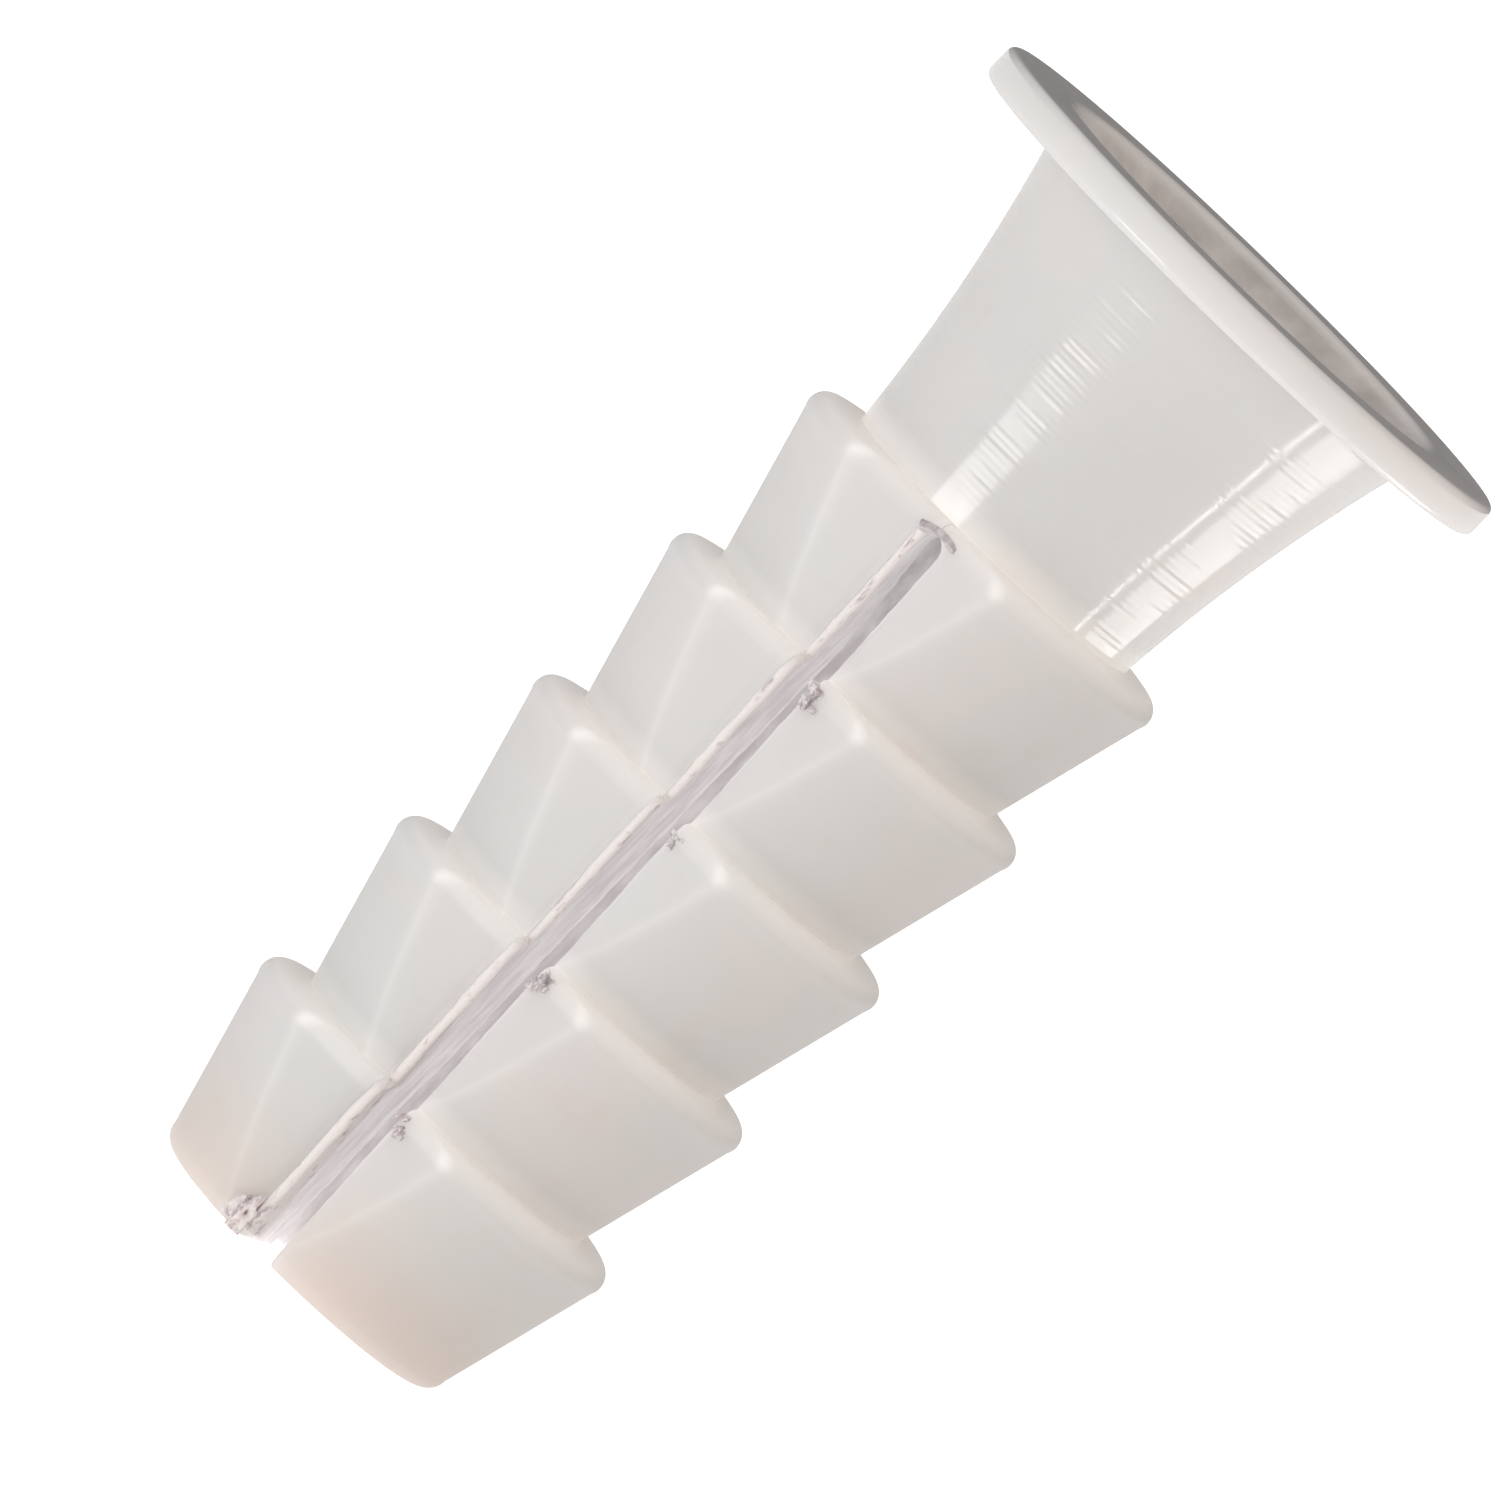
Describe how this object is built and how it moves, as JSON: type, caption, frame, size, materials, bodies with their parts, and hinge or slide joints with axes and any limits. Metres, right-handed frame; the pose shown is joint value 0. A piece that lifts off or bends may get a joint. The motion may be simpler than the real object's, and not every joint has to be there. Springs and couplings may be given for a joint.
{
  "type": "wall anchor",
  "caption": "Split barbed plastic wall plug with a thin countersunk collar; two legs spread when a screw is driven in.",
  "frame": {"origin": "on the axis, in the plane of the collar's underside, which lies on the wall", "axes": "+Z along the axis, out of the wall towards the screw head; the slit between the legs lies in the YZ plane, with its mouths facing -Y and +Y"},
  "size_m": [0.012, 0.012, 0.025],
  "materials": {
    "collar_plastic": "natural milky-white nylon, translucent, semi-gloss",
    "neck_plastic": "natural milky-white nylon, translucent, semi-gloss with fine turned mould rings",
    "leg_plastic": "natural milky-white nylon, translucent, satin",
    "flash_plastic": "thin torn nylon flash, translucent, rough"
  },
  "bodies": {
    "root": {"collar": "collar_plastic", "countersink": "collar_plastic", "neck": "neck_plastic", "root_band": "neck_plastic", "left_hinge": "neck_plastic", "right_hinge": "neck_plastic"},
    "left_leg": {"left_leg": "leg_plastic", "toe_flash": "flash_plastic"},
    "right_leg": {"right_leg": "leg_plastic", "right_flash": "flash_plastic"}
  },
  "joints": [
    {"name": "left_leg_spread", "type": "hinge", "parent": "root", "child": "left_leg", "pos_m": [-0.0033, 0, -0.00675], "axis": [0, 1, 0], "range_deg": [-1, 5], "stiffness_Nm_per_rad": 0.002, "deforming": ["left_hinge"]},
    {"name": "right_leg_spread", "type": "hinge", "parent": "root", "child": "right_leg", "pos_m": [0.0033, 0, -0.00675], "axis": [0, -1, 0], "range_deg": [-1, 5], "stiffness_Nm_per_rad": 0.002, "deforming": ["right_hinge"]}
  ],
  "couplings": [
    {"joint": "right_leg_spread", "follows": "left_leg_spread", "ratio": 1}
  ]
}
